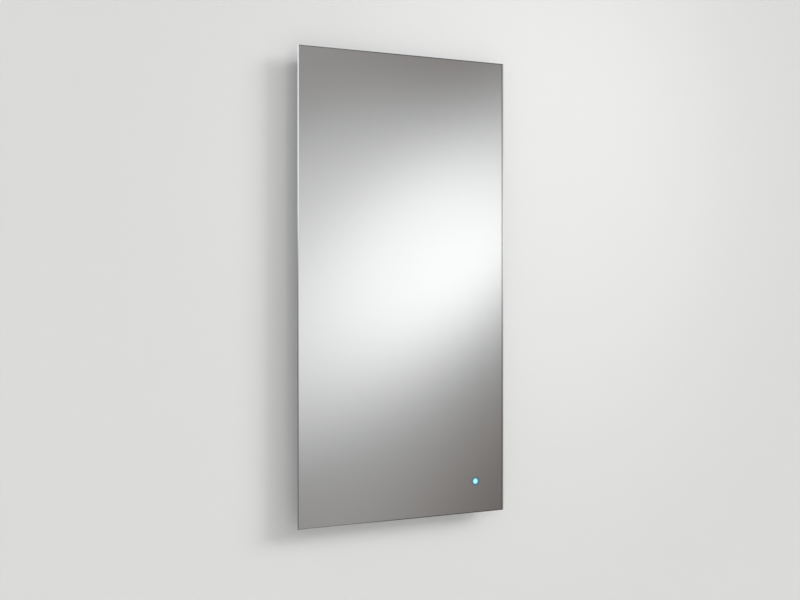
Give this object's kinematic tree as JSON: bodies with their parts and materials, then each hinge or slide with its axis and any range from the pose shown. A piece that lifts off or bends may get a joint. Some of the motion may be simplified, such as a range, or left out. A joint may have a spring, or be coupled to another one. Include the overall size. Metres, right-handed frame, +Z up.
{
  "type": "lighted bathroom mirror",
  "caption": "Tall frameless wall mirror with a touch point in the glass and a hidden light frame, driver and terminal box behind, hung on a wall rail.",
  "frame": {"origin": "midway between the two screw slots of the wall rail, on the wall plane", "axes": "+X to the right seen from the front, +Y into the wall, +Z up"},
  "size_m": [0.5, 0.035, 1],
  "materials": {
    "mirror_glass": "polished",
    "silver": "silvered",
    "mirror_backing": "satin film over grey paint",
    "bond_tape": "acrylic foam",
    "frame_aluminium": "satin anodised",
    "rail_aluminium": "mill finish",
    "key_metal": "cast",
    "strip": "white solder resist",
    "diffuser": "opal",
    "screw_steel": "zinc plated",
    "bumper_rubber": "matt",
    "tray_steel": "galvanised",
    "driver_case": "fine grained",
    "box_plastic": "fine grained",
    "terminal_plastic": "moulded",
    "gland_plastic": "moulded",
    "supply_sheath": "smooth sheath",
    "lead_sheath": "smooth sheath",
    "clip_plastic": "moulded",
    "grommet_rubber": "matt",
    "sensor_plastic": "fine grained",
    "sensor_board": "green solder resist",
    "touch_light": "lit light guide"
  },
  "bodies": {
    "wall": {"wall_rail": "rail_aluminium"},
    "mirror": {"bond_tape_bottom": "bond_tape", "bond_tape_left": "bond_tape", "bond_tape_right": "bond_tape", "bond_tape_top": "bond_tape", "box_grommet": "grommet_rubber", "box_screws": "screw_steel", "bumper_left": "bumper_rubber", "bumper_right": "bumper_rubber", "cable_gland": "gland_plastic", "cleat_screws": "screw_steel", "corner_key_bottom_left": "key_metal", "corner_key_bottom_right": "key_metal", "corner_key_top_left": "key_metal", "corner_key_top_right": "key_metal", "corner_screws": "screw_steel", "diffuser_bottom": "diffuser", "diffuser_left": "diffuser", "diffuser_right": "diffuser", "diffuser_top": "diffuser", "driver_lead": "lead_sheath", "driver_screws": "screw_steel", "electrics_tray": "tray_steel", "frame_bottom": "frame_aluminium", "frame_left": "frame_aluminium", "frame_right": "frame_aluminium", "frame_top": "frame_aluminium", "gland_cap": "gland_plastic", "gland_nut": "gland_plastic", "hang_cleat": "rail_aluminium", "lead_clips": "clip_plastic", "led_driver": "driver_case", "led_strip_bottom": "strip", "led_strip_left": "strip", "led_strip_right": "strip", "led_strip_top": "strip", "lid_screws": "screw_steel", "mirror_glass": "mirror_glass", "safety_film": "mirror_backing", "sensor_board": "sensor_board", "sensor_cover": "sensor_plastic", "sensor_disc": "touch_light", "sensor_housing": "sensor_plastic", "sensor_pad": "bond_tape", "silver_layer": "silver", "strip_grommet": "grommet_rubber", "strip_lead": "lead_sheath", "strip_link_bottom_left": "strip", "strip_link_bottom_right": "strip", "strip_link_top_right": "strip", "supply_lead": "supply_sheath", "terminal_block": "terminal_plastic", "terminal_box": "box_plastic", "terminal_lid": "box_plastic", "tray_screws": "screw_steel"}
  },
  "joints": [
    {"name": "lift_off", "type": "slide", "parent": "wall", "child": "mirror", "axis": [0, 0, 1], "range_m": [0, 0.012]}
  ]
}
